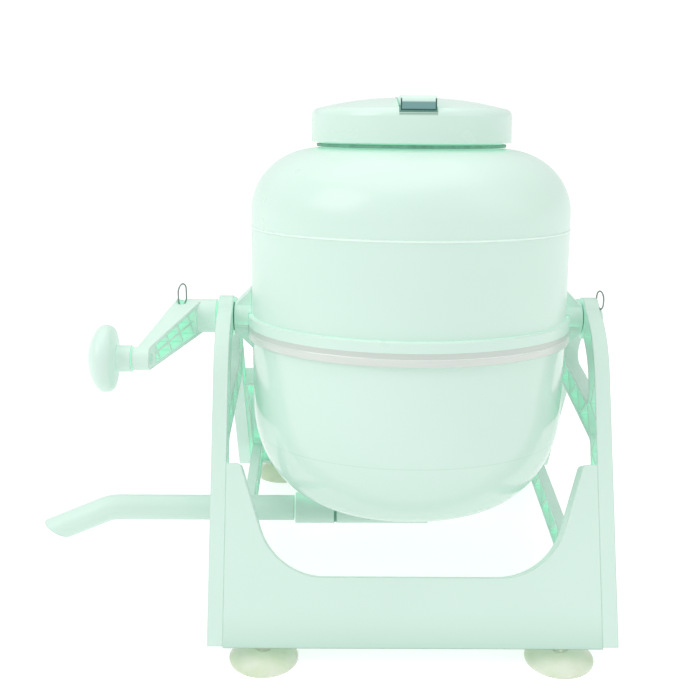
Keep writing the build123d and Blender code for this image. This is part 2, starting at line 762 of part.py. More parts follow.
knob_spindle = grip_turned(
    [
        ((-ARM_TIP[0] - 3.0, 0), (-ARM_TIP[0] - 3.0, 4.0)),
        ((-ARM_TIP[0] - 3.0, 4.0), (-GRIP_OUT + 4.7, 4.0)),
        ((-GRIP_OUT + 4.7, 4.0), (-GRIP_OUT + 4.7, 6.4)),
        ((-GRIP_OUT + 4.7, 6.4), (-GRIP_OUT + 2.4, 5.6)),
        ((-GRIP_OUT + 2.4, 5.6), (-GRIP_OUT + 2.4, 0)),
        ((-GRIP_OUT + 2.4, 0), (-ARM_TIP[0] - 3.0, 0)),
    ]
)
knob_spindle.part.label = "knob_spindle"
export_step(knob_spindle.part, "parts/knob_spindle.step")

knob_cap = grip_turned(
    [
        ((-GRIP_OUT + 1.9, 0), (-GRIP_OUT + 1.9, 6.95)),
        ((-GRIP_OUT + 1.9, 6.95), (-GRIP_OUT + 0.6, 6.95)),
        ((-GRIP_OUT + 0.6, 6.95), (-GRIP_OUT, 6.0)),
        ((-GRIP_OUT, 6.0), (-GRIP_OUT, 0)),
        ((-GRIP_OUT, 0), (-GRIP_OUT + 1.9, 0)),
    ]
)
knob_cap.part.label = "knob_cap"
export_step(knob_cap.part, "parts/knob_cap.step")

# ---------------------------------------------------------------- lid

LID_WALL = 2.6
LEVER_HALF = 13.6
LEVER_GAP = 0.8
LEVER_FRONT = 79.6       # front of the lever's tab, from the drum's axis
LEVER_TOP = LID_TOP + 0.2
HINGE_Y = -14.0
HINGE_A = 177.6
HINGE_R = 3.4
HINGE_PIN_R = 1.5
RECESS_A = 174.6         # floor of the lever's recess
TAB_A = 169.6            # floor of the recess under the tab


def lid_outer_lines(inset):
    """Lid surface from the rim to the crown, moved in by an inset."""
    ThreePointArc(
        (LID_R - inset, LID_RIM - 6.0),
        (LID_R - 1.9 - inset * 0.8, LID_RIM - 1.7 - inset * 0.6),
        (LID_R - 7.0 - inset * 0.4, LID_RIM + 0.6 - inset * 0.95),
    )
    ThreePointArc(
        (LID_R - 7.0 - inset * 0.4, LID_RIM + 0.6 - inset * 0.95),
        (LID_R / 2, LID_TOP - 1.9 - inset),
        (0, LID_TOP - inset),
    )


lid_lug = curved_bar(NECK_R + 0.9, LID_R - LID_WALL + 0.2, LUG_WIDE)

# The cavity leaves a box under the crown for the lever, and a boss that turns on the seal plate.
with BuildPart() as lid_cavity:
    with BuildSketch(drum_profile):
        with BuildLine():
            Line((LID_R - LID_WALL, LID_LOW - 1), (LID_R - LID_WALL, LID_RIM - 6.0))
            lid_outer_lines(LID_WALL)
            Polyline((0, LID_TOP - LID_WALL), (0, LID_LOW - 1), (LID_R - LID_WALL, LID_LOW - 1))
        make_face()
    revolve(axis=drum_axis)
    with BuildSketch(across(TAB_A - 2.0)):
        with Locations((0, -LID_R / 2)):
            Rectangle(2 * (LEVER_HALF + LEVER_GAP + 2.2), LID_R)
        Circle(9.0)
    extrude(amount=20, mode=Mode.SUBTRACT)

with BuildPart() as lid_cap:
    with BuildSketch(drum_profile):
        with BuildLine():
            Line((LID_R, LID_LOW), (LID_R, LID_RIM - 6.0))
            lid_outer_lines(0)
            Polyline((0, LID_TOP), (0, LID_LOW), (LID_R, LID_LOW))
        make_face()
    revolve(axis=drum_axis)
    add(lid_cavity.part, mode=Mode.SUBTRACT)
    with BuildSketch(drum_side):
        with BuildLine():
            Polyline(
                (-LID_R - 5, TAB_A),
                (-LEVER_FRONT + 9.0, TAB_A),
                (-LEVER_FRONT + 14.0, RECESS_A),
                (HINGE_Y + 6.0, RECESS_A),
                (HINGE_Y + 6.0, LID_TOP + 5),
                (-LID_R - 5, LID_TOP + 5),
                close=True,
            )
        make_face()
    extrude(amount=LEVER_HALF + LEVER_GAP, both=True, mode=Mode.SUBTRACT)
    with BuildSketch(drum_side):
        with Locations((HINGE_Y, HINGE_A)):
            Circle(HINGE_PIN_R)
    extrude(amount=LEVER_HALF + LEVER_GAP + 2.2, both=True, mode=Mode.SUBTRACT)
    # Lugs inside the skirt, resting in the gaps between the neck's lugs.
    with BuildSketch(across(147.0)):
        with PolarLocations(0, 4, start_angle=45):
            add(lid_lug)
    extrude(amount=2.6)
    with BuildSketch(across(TAB_A - 3.0)):
        Circle(2.0)
    extrude(amount=8, mode=Mode.SUBTRACT)
lid_cap.part.label = "lid_cap"
export_step(lid_cap.part, "parts/lid_cap.step")

with BuildPart() as lid_lever:
    with BuildSketch(drum_side):
        with BuildLine():
            Polyline(
                (HINGE_Y + 2.0, LEVER_TOP - 0.6),
                (-LEVER_FRONT + 5.0, LEVER_TOP),
            )
            ThreePointArc(
                (-LEVER_FRONT + 5.0, LEVER_TOP),
                (-LEVER_FRONT + 1.3, LEVER_TOP - 1.5),
                (-LEVER_FRONT, LEVER_TOP - 5.0),
            )
            Polyline(
                (-LEVER_FRONT, LEVER_TOP - 5.0),
                (-LEVER_FRONT, TAB_A + 0.7),
                (-LEVER_FRONT + 2.6, TAB_A + 0.7),
                (-LEVER_FRONT + 3.4, RECESS_A + 0.9),
                (HINGE_Y + 2.0, RECESS_A + 0.9),
                (HINGE_Y + 2.0, LEVER_TOP - 0.6),
            )
        make_face()
        with Locations((HINGE_Y, HINGE_A)):
            Circle(HINGE_R - 0.9)
    extrude(amount=LEVER_HALF, both=True)
    with BuildSketch(drum_side):
        with Locations((HINGE_Y, HINGE_A)):
            Circle(HINGE_PIN_R + 0.06)
    extrude(amount=LEVER_HALF, both=True, mode=Mode.SUBTRACT)
lid_lever.part.label = "lid_lever"
export_step(lid_lever.part, "parts/lid_lever.step")

with BuildPart() as lever_pin:
    with BuildSketch(drum_side):
        with Locations((HINGE_Y, HINGE_A)):
            Circle(HINGE_PIN_R)
    extrude(amount=LEVER_HALF + LEVER_GAP + 2.0, both=True)
lever_pin.part.label = "lever_pin"
export_step(lever_pin.part, "parts/lever_pin.step")

PLATE_A = NECK_TOP + 2.0
seal_plate = drum_ring(
    [
        (2.06, PLATE_A),
        (MOUTH_R - 4.2, PLATE_A),
        (MOUTH_R - 4.2, PLATE_A - 10.0),
        (MOUTH_R - 0.8, PLATE_A - 10.0),
        (MOUTH_R - 0.8, PLATE_A),
        (NECK_R, PLATE_A),
        (NECK_R, PLATE_A + 2.4),
        (2.06, PLATE_A + 2.4),
    ]
)
seal_plate.part.label = "seal_plate"
export_step(seal_plate.part, "parts/seal_plate.step")

lid_gasket = drum_ring(box_outline(MOUTH_R - 0.7, NECK_R, NECK_TOP, PLATE_A))
lid_gasket.part.label = "lid_gasket"
export_step(lid_gasket.part, "parts/lid_gasket.step")

lid_screw = drum_ring(
    [
        (0, PLATE_A - 2.6),
        (5.0, PLATE_A - 2.0),
        (5.0, PLATE_A - 0.15),
        (2.0, PLATE_A - 0.15),
        (2.0, TAB_A + 4.6),
        (0, TAB_A + 4.6),
    ]
)
lid_screw.part.label = "lid_screw"
export_step(lid_screw.part, "parts/lid_screw.step")

# ---------------------------------------------------------------- drain valve and tube

drain_y = DRAIN_A * sin(LEAN)
drain_z = PIVOT_Z + DRAIN_A * cos(LEAN)
drain_profile = Plane(origin=(0, drain_y, drain_z), x_dir=(1, 0, 0), z_dir=(0, -1, 0))
drain_axis = Axis((0, drain_y, drain_z), (1, 0, 0))
SEAT_X = 58.0
SEAT_HOLE_R = 7.0
CHAMBER_R = 10.4
HOUSING_END = 20.0
PLUG_IN = 13.5
POPPET_R = 9.4
POPPET_THICK = 3.0
STEM_R = 2.0
STEM_TIP = SOCKET_END - 13.0
PUSH_RING_R = 10.6
SPRING_R = 5.0
SPRING_WIRE_R = 0.6
ROD_END = 26.0


def drain_turned(points):
    """Turned piece on the drain's axis, from a closed outline of distance along it and radius."""
    with BuildPart() as turned:
        with BuildSketch(drain_profile):
            with BuildLine():
                Polyline(*points, close=True)
            make_face()
        revolve(axis=drain_axis)
    return turned


bowl_low = BOWL_A - BOWL_RA
with BuildPart() as valve_housing:
    with BuildSketch(drain_profile):
        with BuildLine():
            Polyline(
                (-SOCKET_END, 0),
                (-SOCKET_END, DRAIN_R + 0.3),
                (-61.5, DRAIN_R + 0.3),
                (-61.0, DRAIN_R - 0.8),
                (-59.6, DRAIN_R - 0.8),
                (-59.1, DRAIN_R),
                (HOUSING_END, DRAIN_R),
                (HOUSING_END, 0),
                close=True,
            )
        make_face()
    revolve(axis=drain_axis)
    with BuildSketch(across(DRAIN_A)):
        Circle(12.0)
    extrude(amount=bowl_low - DRAIN_A)
    with BuildSketch(across(bowl_low)):
        Circle(24.0)
    extrude(amount=-2.0)
    with BuildSketch(drain_profile):
        with BuildLine():
            Polyline(
                (-SOCKET_END, 0),
                (-SOCKET_END, TUBE_R + 0.35),
                (-SEAT_X - 2.5, TUBE_R + 0.35),
                (-SEAT_X - 2.5, SEAT_HOLE_R),
                (-SEAT_X, SEAT_HOLE_R),
                (-SEAT_X, CHAMBER_R),
                (HOUSING_END, CHAMBER_R),
                (HOUSING_END, 0),
                close=True,
            )
        make_face()
    revolve(axis=drain_axis, mode=Mode.SUBTRACT)
    with BuildSketch(across(DRAIN_A)):
        Circle(8.0)
    extrude(amount=bowl_low - DRAIN_A, mode=Mode.SUBTRACT)
    with BuildSketch(drain_profile):
        with BuildLine():
            Polyline(
                (-88.9, TUBE_R),
                (-88.9, TUBE_R + 1.3),
                (-86.9, TUBE_R + 1.3),
                (-86.9, TUBE_R),
                close=True,
            )
        make_face()
    revolve(axis=drain_axis, mode=Mode.SUBTRACT)
valve_housing.part.label = "valve_housing"
export_step(valve_housing.part, "parts/valve_housing.step")

socket_ring = drain_turned(
    [(-88.9, TUBE_R + 0.15), (-86.9, TUBE_R + 0.15), (-86.9, TUBE_R + 1.3), (-88.9, TUBE_R + 1.3)]
)
socket_ring.part.label = "socket_ring"
export_step(socket_ring.part, "parts/socket_ring.step")

drain_plug = drain_turned(
    [
        (PLUG_IN, 0),
        (-ROD_END, 0),
        (-ROD_END, 2.6),
        (-ROD_END + 4.0, 2.6),
        (-ROD_END + 4.0, 6.0),
        (-ROD_END + 6.0, 6.0),
        (-ROD_END + 6.0, 3.2),
        (PLUG_IN, 3.2),
        (PLUG_IN, CHAMBER_R),
        (HOUSING_END, CHAMBER_R),
        (HOUSING_END, DRAIN_R - 2.2),
        (HOUSING_END + 2.5, DRAIN_R - 3.0),
        (HOUSING_END + 2.5, 0),
    ]
)
drain_plug.part.label = "drain_plug"
export_step(drain_plug.part, "parts/drain_plug.step")

poppet_back = -SEAT_X + 0.25 + POPPET_THICK
poppet_turned = drain_turned(
    [
        (-STEM_TIP, 0),
        (-STEM_TIP, STEM_R),
        (poppet_back - POPPET_THICK, STEM_R),
        (poppet_back - POPPET_THICK, POPPET_R),
        (poppet_back, POPPET_R),
        (poppet_back, STEM_R + 1.5),
        (poppet_back + 5.0, STEM_R + 1.5),
        (poppet_back + 5.0, 0),
    ]
)
with BuildPart() as drain_poppet:
    add(poppet_turned.part)
    # Spoked ring that the end of the tube pushes.
    with BuildSketch(Plane(origin=(-STEM_TIP, drain_y, drain_z), x_dir=(0, 1, 0), z_dir=(1, 0, 0))):
        Circle(PUSH_RING_R)
        Circle(PUSH_RING_R - 2.4, mode=Mode.SUBTRACT)
        with PolarLocations(0, 3):
            with Locations((PUSH_RING_R / 2, 0)):
                Rectangle(PUSH_RING_R - 1, 2.0)
    extrude(amount=2.0)
drain_poppet.part.label = "drain_poppet"
export_step(drain_poppet.part, "parts/drain_poppet.step")

spring_from = poppet_back + SPRING_WIRE_R + 0.1
spring_to = -ROD_END + 4.0 - SPRING_WIRE_R - 0.1
spring_plane = Plane(origin=(spring_from, drain_y, drain_z), x_dir=(0, 1, 0), z_dir=(1, 0, 0))
coil = Helix(
    pitch=(spring_to - spring_from) / 6,
    height=spring_to - spring_from,
    radius=SPRING_R,
    center=spring_plane.origin,
    direction=(1, 0, 0),
)
with BuildPart() as poppet_spring:
    with BuildSketch(Plane(origin=coil @ 0, z_dir=coil % 0)):
        Circle(SPRING_WIRE_R)
    sweep(path=coil, is_frenet=True)
poppet_spring.part.label = "poppet_spring"
export_step(poppet_spring.part, "parts/poppet_spring.step")

# Drain tube: straight out to the left, then down to a spout cut at a slant.
TUBE_WALL = 1.8
TUBE_BEND_X = 256.0
TUBE_DROP = radians(24.0)
TUBE_BEND_R = 34.0
SPOUT_LONG = 72.0
CUT_X = -316.2           # upper end of the spout's slanted cut, and its slope
CUT_Z = 46.8
CUT_SLOPE = -0.616
tube_start = -SOCKET_END - TUBE_GAP
with BuildPart() as drain_tube:
    with BuildLine() as tube_path:
        corner = Vector(-TUBE_BEND_X, drain_y, drain_z)
        spout = corner + Vector(-cos(TUBE_DROP), 0, -sin(TUBE_DROP)) * SPOUT_LONG
        FilletPolyline((tube_start, drain_y, drain_z), corner, spout, radius=TUBE_BEND_R)
    with BuildSketch(side_plane(tube_start)) as tube_section:
        with Locations((drain_y, drain_z)):
            Circle(TUBE_R)
            Circle(TUBE_R - TUBE_WALL, mode=Mode.SUBTRACT)
    sweep(path=tube_path.wires()[0])
    with BuildSketch(Plane.XZ.offset(-drain_y - 30)):
        with BuildLine():
            Polyline(
                (CUT_X - 30, CUT_Z - 30 * CUT_SLOPE),
                (CUT_X + 60, CUT_Z + 60 * CUT_SLOPE),
                (CUT_X - 30, CUT_Z + 60 * CUT_SLOPE),
                close=True,
            )
        make_face()
    extrude(amount=60, both=True, mode=Mode.SUBTRACT)
drain_tube.part.label = "drain_tube"
export_step(drain_tube.part, "parts/drain_tube.step")
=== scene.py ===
"""Hand-cranked tabletop washer: finishes, one small piece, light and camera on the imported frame."""

import math

import bmesh
import bpy
from mathutils import Matrix, Vector


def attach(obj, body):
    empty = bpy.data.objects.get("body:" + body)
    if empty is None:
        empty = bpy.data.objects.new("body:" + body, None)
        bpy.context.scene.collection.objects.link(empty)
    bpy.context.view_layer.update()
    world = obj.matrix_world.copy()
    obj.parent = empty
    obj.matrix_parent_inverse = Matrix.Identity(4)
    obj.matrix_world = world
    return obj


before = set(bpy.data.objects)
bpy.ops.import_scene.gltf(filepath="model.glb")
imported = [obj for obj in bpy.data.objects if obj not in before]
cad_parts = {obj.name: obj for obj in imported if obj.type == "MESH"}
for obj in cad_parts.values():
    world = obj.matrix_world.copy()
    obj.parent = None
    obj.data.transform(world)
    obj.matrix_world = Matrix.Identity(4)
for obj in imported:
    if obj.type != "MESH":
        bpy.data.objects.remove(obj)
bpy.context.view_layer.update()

# ---------------------------------------------------------------- places taken from the frame

PIVOT = Vector((0, 0, 0.228))
LEAN = math.radians(9.6)                       # the drum rests leaning back by this much
UP = Vector((0, math.sin(LEAN), math.cos(LEAN)))
BACK = Vector((0, math.cos(LEAN), -math.sin(LEAN)))
SIDE = Vector((1, 0, 0))
PLUMB = Vector((0, 0, 1))

# Distances from the axle, in metres: up along the drum's axis, or back across it.
SHELL_LINE = 0.0770
BOWL_LINE = -0.0950
BAND_SPLIT = -0.0092
BAND_LINE_HALF = 0.0006
RECESS_HALF = 0.0145                           # the lid's recess for its lever: half its width,
RECESS_BACK = -0.0078                          # its end,
RECESS_LOW = 0.1690                            # the lowest of its painted shade
RECESS_LIP = 0.1680                            # and the middle of the lip below that, in painted shade
RECESS_LIP_HALF = 0.0016
TAB_FRONT = -0.0786                            # the lever's tab: its front,
TAB_TOP = 0.1790                               # the top of the painted shade round it,
TAB_BLUE_TOP = 0.1764                          # the top of the painted steel-blue reflection on its face,
TAB_LOW = 0.1714                               # the top of the painted shade along its lower edge
TAB_HALF = 0.0124                              # and half the width between the painted shade at its sides
GROOVE_X = -0.0604                             # groove round the drain housing beside its socket
GROOVE_HALF = 0.0010
PANEL_FOOT = 0.0165 - PIVOT.z                  # the panels' painted shade starts here
PANEL_FADE = 0.0285                            # and is gone this much higher


def on_drum(x, y, a):
    """A point given across the drum, front to back and up along its axis."""
    return PIVOT + SIDE * x + BACK * y + UP * a


# ---------------------------------------------------------------- node helpers


class Nodes:
    """Short calls for building one node tree."""

    def __init__(self, name):
        self.mat = bpy.data.materials.new(name)
        self.mat.use_nodes = True
        self.tree = self.mat.node_tree
        self.tree.nodes.clear()
        self.bsdf = self.add("ShaderNodeBsdfPrincipled")
        out = self.add("ShaderNodeOutputMaterial")
        self.link(self.bsdf.outputs[0], out.inputs["Surface"])

    @classmethod
    def again(cls, mat):
        """Open a finished material to add to it."""
        n = cls.__new__(cls)
        n.mat = mat
        n.tree = mat.node_tree
        n.bsdf = n.tree.nodes["Principled BSDF"]
        return n

    def add(self, kind, **values):
        node = self.tree.nodes.new(kind)
        for key, value in values.items():
            setattr(node, key, value)
        return node

    def link(self, a, b):
        self.tree.links.new(a, b)

    def set(self, **values):
        """Set constants on the shader's own sockets."""
        for key, value in values.items():
            self.bsdf.inputs[key.replace("_", " ")].default_value = value

    def drive(self, **outputs):
        """Link node outputs to the shader's sockets."""
        for key, output in outputs.items():
            self.link(output, self.bsdf.inputs[key.replace("_", " ")])

    def tint(self, fac, colour):
        """Lay a colour over the finished base colour."""
        socket = self.bsdf.inputs["Base Color"]
        self.link(self.mix(fac, socket.links[0].from_socket, colour), socket)

    def coords(self, scale=(1, 1, 1)):
        where = self.add("ShaderNodeTexCoord")
        turn = self.add("ShaderNodeMapping")
        turn.inputs["Scale"].default_value = scale
        self.link(where.outputs["Object"], turn.inputs["Vector"])
        return turn.outputs["Vector"]

    def noise(self, vector, scale, detail=2.0):
        tex = self.add("ShaderNodeTexNoise")
        tex.inputs["Scale"].default_value = scale
        tex.inputs["Detail"].default_value = detail
        tex.inputs["Roughness"].default_value = 0.5
        self.link(vector, tex.inputs["Vector"])
        return tex.outputs["Fac"]

    def math(self, op, a, b=None):
        node = self.add("ShaderNodeMath", operation=op)
        for i, value in enumerate((a, b)):
            if value is None:
                continue
            if isinstance(value, (int, float)):
                node.inputs[i].default_value = value
            else:
                self.link(value, node.inputs[i])
        return node.outputs[0]

    def times(self, *values):
        """The product of two or more values."""
        product = values[0]
        for value in values[1:]:
            product = self.math("MULTIPLY", product, value)
        return product

    def span(self, value, low, high, to_low=0.0, to_high=1.0):
        """Map low to high onto to_low to to_high, and stop at both ends."""
        node = self.add("ShaderNodeMapRange")
        node.inputs["From Min"].default_value = low
        node.inputs["From Max"].default_value = high
        node.inputs["To Min"].default_value = to_low
        node.inputs["To Max"].default_value = to_high
        self.link(value, node.inputs["Value"])
        return node.outputs["Result"]

    def below(self, value, at, soft):
        """1 below a value, falling to 0 over a soft step above it."""
        return self.span(value, at + soft, at)

    def above(self, value, at, soft):
        """0 below a value, rising to 1 over a soft step above it."""
        return self.span(value, at, at + soft)

    def line(self, value, at, half):
        """1 at a value, falling to 0 at half a line's width on both sides."""
        return self.span(self.math("ABSOLUTE", self.math("SUBTRACT", value, at)), half, 0.0)

    def mix(self, fac, a, b):
        node = self.add("ShaderNodeMix", data_type="RGBA")
        for socket, value in ((node.inputs[0], fac), (node.inputs[6], a), (node.inputs[7], b)):
            if isinstance(value, (int, float, tuple)):
                socket.default_value = value
            else:
                self.link(value, socket)
        return node.outputs[2]

    def bump(self, height, distance, strength=1.0, normal=None):
        node = self.add("ShaderNodeBump")
        node.inputs["Strength"].default_value = strength
        node.inputs["Distance"].default_value = distance
        self.link(height, node.inputs["Height"])
        if normal is not None:
            self.link(normal, node.inputs["Normal"])
        return node.outputs["Normal"]

    def rounded(self, radius):
        node = self.add("ShaderNodeBevel", samples=4)
        node.inputs["Radius"].default_value = radius
        return node.outputs["Normal"]

    def along(self, where, direction):
        """Distance of a surface point from the axle along a direction, in metres."""
        node = self.add("ShaderNodeVectorMath", operation="DOT_PRODUCT")
        self.link(where, node.inputs[0])
        node.inputs[1].default_value = direction
        return self.math("SUBTRACT", node.outputs["Value"], PIVOT.dot(direction))


def rgb(r, g, b):
    """Linear colour from a display colour in 0 to 255."""
    def one(c):
        c /= 255
        return c / 12.92 if c <= 0.04045 else ((c + 0.055) / 1.055) ** 2.4
    return (one(r), one(g), one(b), 1.0)


def darker(colour, share):
    return tuple(c * share for c in colour[:3]) + (1.0,)


MINT = rgb(204, 228, 217)
MINT_LIGHT = rgb(209, 233, 222)
MINT_RECESS_SHADE = rgb(136, 214, 181)
MINT_PAINTED_GLOW = rgb(160, 222, 196)
MINT_SHADE = rgb(184, 216, 201)
RING_HIGHLIGHT = rgb(236, 252, 244)
GROOVE_SHADE_GREEN = rgb(92, 156, 132)
LIP_SHADE_GREEN = rgb(132, 166, 151)
TEAL = rgb(48, 92, 86)
NECK_GAP_SHADE = rgb(136, 184, 165)
GAP_SHADE_TEAL = rgb(44, 88, 82)
TAB_REFLECTION_BLUE = rgb(112, 154, 154)
ZINC = rgb(176, 178, 178)
DARK_WIRE = rgb(150, 160, 155)
BAND_UPPER = rgb(200, 208, 202)
BAND_LOWER = rgb(217, 222, 217)
BAND_DRAWN = rgb(184, 195, 188)
BAND_LINE = rgb(240, 246, 242)
VINYL = rgb(240, 246, 232)
VINYL_CLOUDY = rgb(226, 238, 212)
FLOOR_TONES = ((0.50, 0.51, 0.505, 1), (0.52, 0.525, 0.52, 1))

# ---------------------------------------------------------------- finishes


def moulded(name, roughness, grain=1.0, edge=0.0012, rings=()):
    """Moulded mint plastic: slight blotches, a fine surface texture, painted shade and a painted glow
    in its recesses.

    edge is the radius its edges are shaded with. rings are lines round the drum, as (height, half
    width, lift, strength): a raised line gets a painted highlight, a sunk one painted shade."""
    n = Nodes(name)
    where = n.coords()
    blotch = n.span(n.noise(where, 9.0, 3.0), 0.05, 0.95)
    colour = n.mix(blotch, MINT, MINT_LIGHT)
    shade = n.add("ShaderNodeAmbientOcclusion", samples=6)
    shade.inputs["Distance"].default_value = 0.02
    # Painted shade: where ambient occlusion finds a recess, the colour turns a deeper green.
    closed = n.span(shade.outputs["AO"], 0.6, 0.1, 0.0, 0.3)
    colour = n.mix(closed, colour, MINT_RECESS_SHADE)
    # Painted glow: emission lights the recesses, standing in for light that the thin plastic lets
    # through; it is no lamp.
    n.drive(Emission_Strength=n.span(shade.outputs["AO"], 0.75, 0.2, 0.0, 0.4))
    n.set(Emission_Color=MINT_PAINTED_GLOW, IOR=1.5)
    fine = n.noise(where, 560.0, 1.0)
    normal = n.bump(fine, 0.00005 * grain, 0.5, n.rounded(edge) if edge else None)
    for at, half, lift, strength in rings:
        on_line = n.line(n.along(where, UP), at, half)
        normal = n.bump(on_line, abs(lift), math.copysign(1.0, lift), normal)
        # Painted highlight along a raised line, painted shade along a sunk one.
        colour = n.mix(n.times(on_line, strength), colour, RING_HIGHLIGHT if lift > 0 else MINT_SHADE)
    flow = n.noise(where, 30.0, 2.0)
    n.drive(
        Base_Color=colour,
        Roughness=n.span(flow, 0.1, 0.9, roughness - 0.05, roughness + 0.06),
        Normal=normal,
    )
    return n.mat


def lid_finish():
    """Glossy lid with painted shade in its lever recess: dark teal, with a grey-green lip below."""
    mat = moulded("mint_lid", 0.24, 0.3, 0)
    n = Nodes.again(mat)
    where = n.coords()
    narrow = n.below(n.math("ABSOLUTE", n.along(where, SIDE)), RECESS_HALF, 0.0001)
    recess = n.times(narrow, n.below(n.along(where, BACK), RECESS_BACK, 0.0006))
    height = n.along(where, UP)
    # Painted shade: dark teal in the lever's recess, grey-green on the lip below it.
    n.tint(n.times(recess, n.above(height, RECESS_LOW, 0.0002)), GAP_SHADE_TEAL)
    n.tint(n.times(n.line(height, RECESS_LIP, RECESS_LIP_HALF), recess), LIP_SHADE_GREEN)
    return mat


def lever_finish():
    """Lever with a mint top, a painted steel-blue reflection on the front of its tab, and painted
    shade round the tab.
    """
    mat = moulded("mint_lever", 0.3, 0.4)
    n = Nodes.again(mat)
    where = n.coords()
    height = n.along(where, UP)
    front = n.below(n.along(where, BACK), TAB_FRONT, 0.0006)
    # Painted reflection: steel blue on the front of the tab.
    n.tint(n.times(front, n.below(height, TAB_BLUE_TOP, 0.0012)), TAB_REFLECTION_BLUE)
    # Painted shade round the tab, where it sits in its gap.
    sides = n.above(n.math("ABSOLUTE", n.along(where, SIDE)), TAB_HALF, 0.0003)
    outline = n.math("MAXIMUM", sides, n.below(height, TAB_LOW, 0.0004))
    n.tint(n.times(front, outline, n.below(height, TAB_TOP, 0.0010)), GAP_SHADE_TEAL)
    return mat


def panel_finish():
    """Satin panel with painted shade towards its bottom edge, standing in for the curve under it."""
    mat = moulded("mint_panel", 0.42)
    n = Nodes.again(mat)
    # Painted shade, darker towards the bottom edge.
    low = n.below(n.along(n.coords(), PLUMB), PANEL_FOOT, PANEL_FADE)
    n.tint(n.times(low, low, 0.85), MINT_SHADE)
    return mat


def housing_finish():
    """Drain housing with painted shade in the groove round it beside its socket."""
    mat = moulded("mint_housing", 0.4)
    n = Nodes.again(mat)
    off = n.math("ABSOLUTE", n.math("SUBTRACT", n.along(n.coords(), SIDE), GROOVE_X))
    # Painted shade in the groove.
    n.tint(n.below(off, GROOVE_HALF, 0.0004), GROOVE_SHADE_GREEN)
    return mat


def band_finish():
    """Satin grey clamp band: darker above a thin line, lighter below it, faintly drawn all round."""
    n = Nodes("grey_band")
    height = n.along(n.coords(), UP)
    drawn = n.noise(n.coords((0.4, 0.4, 60.0)), 40.0, 3.0)
    on_line = n.line(height, BAND_SPLIT, BAND_LINE_HALF)
    colour = n.mix(n.above(height, BAND_SPLIT - 0.0003, 0.0006), BAND_LOWER, BAND_UPPER)
    colour = n.mix(n.span(drawn, 0.3, 0.7, 0.0, 0.35), colour, BAND_DRAWN)
    colour = n.mix(n.times(on_line, 0.7), colour, BAND_LINE)
    drawn_bump = n.bump(drawn, 0.00005, 0.6, n.rounded(0.0006))
    n.drive(
        Base_Color=colour,
        Roughness=n.span(drawn, 0.3, 0.7, 0.28, 0.4),
        Normal=n.bump(on_line, 0.0003, 1.0, drawn_bump),
    )
    n.set(Metallic=0.15)
    return n.mat


def rubber(name, colour, roughness):
    """Matt rubber, finely mottled."""
    n = Nodes(name)
    where = n.coords()
    mottle = n.span(n.noise(where, 160.0, 3.0), 0.3, 0.7)
    n.drive(
        Base_Color=n.mix(mottle, darker(colour, 0.7), colour),
        Roughness=n.span(mottle, 0.0, 1.0, roughness - 0.05, roughness + 0.08),
        Normal=n.bump(n.noise(where, 1400.0), 0.00008, 0.6, n.rounded(0.0004)),
    )
    return n.mat


def steel(name, colour, roughness):
    """Plated steel: drawn along its length, with faint blotches."""
    n = Nodes(name)
    streak = n.span(n.noise(n.coords((1.0, 12.0, 12.0)), 220.0, 4.0), 0.3, 0.7)
    n.drive(
        Base_Color=n.mix(streak, darker(colour, 0.72), colour),
        Roughness=n.span(streak, 0.0, 1.0, roughness + 0.1, roughness - 0.05),
        Normal=n.bump(streak, 0.00003, 0.5, n.rounded(0.0003)),
    )
    n.set(Metallic=1.0)
    return n.mat


def clear_vinyl():
    """Translucent vinyl of the suction cups: yellow-green, cloudy, faintly rippled."""
    n = Nodes("clear_vinyl")
    where = n.coords()
    cloud = n.span(n.noise(where, 70.0, 3.0), 0.35, 0.65)
    n.drive(
        Base_Color=n.mix(cloud, VINYL_CLOUDY, VINYL),
        Roughness=n.span(cloud, 0.0, 1.0, 0.12, 0.24),
        Normal=n.bump(n.noise(where, 260.0), 0.0002, 0.4, n.rounded(0.0005)),
    )
    n.set(Transmission_Weight=0.55, IOR=1.46)
    return n.mat


mint_satin = moulded("mint_satin", 0.42)
mint_gloss = moulded("mint_gloss", 0.32, 0.5)
# The shell's raised line carries a painted highlight; the bowl's sunk line carries painted shade.
mint_shell = moulded("mint_shell", 0.30, 0.4, 0, rings=((SHELL_LINE, 0.0012, 0.0004, 0.9),))
mint_bowl = moulded("mint_bowl", 0.13, 0.2, 0, rings=((BOWL_LINE, 0.0007, -0.0002, 0.5),))
mint_lid = lid_finish()
mint_lever = lever_finish()
mint_panel = panel_finish()
dark_rubber = rubber("dark_rubber", TEAL, 0.55)
gap_shade_rubber = rubber("gap_shade_rubber", NECK_GAP_SHADE, 0.5)
zinc = steel("zinc_steel", ZINC, 0.28)
wire = steel("dark_wire", DARK_WIRE, 0.3)
vinyl = clear_vinyl()

# ---------------------------------------------------------------- finishes on the CAD nodes

# Nodes that aren't named here are plain satin mint.
FINISHES = {
    "upper_shell": mint_shell,
    "lower_bowl": mint_bowl,
    "clamp_band": band_finish(),
    "valve_housing": housing_finish(),
    "lid_cap": mint_lid,
    "lid_lever": mint_lever,
    "seal_plate": mint_gloss,
    "crank_knob": mint_gloss,
    "knob_cap": mint_gloss,
    "front_panel": mint_panel,
    "rear_panel": mint_panel,
    "body_gasket": dark_rubber,
    "lid_gasket": dark_rubber,
    "socket_ring": dark_rubber,
    "thrust_washer_left": dark_rubber,
    "thrust_washer_right": dark_rubber,
    "knob_spindle": zinc,
    "poppet_spring": zinc,
    "lever_pin": zinc,
    "lid_screw": zinc,
    "frame_screws_left": zinc,
    "frame_screws_right": zinc,
    "split_pin_left": wire,
    "split_pin_right": wire,
    "suction_cup_front_left": vinyl,
    "suction_cup_front_right": vinyl,
    "suction_cup_rear_left": vinyl,
    "suction_cup_rear_right": vinyl,
}

for node_name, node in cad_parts.items():
    node.data.materials.clear()
    node.data.materials.append(FINISHES.get(node_name, mint_satin))
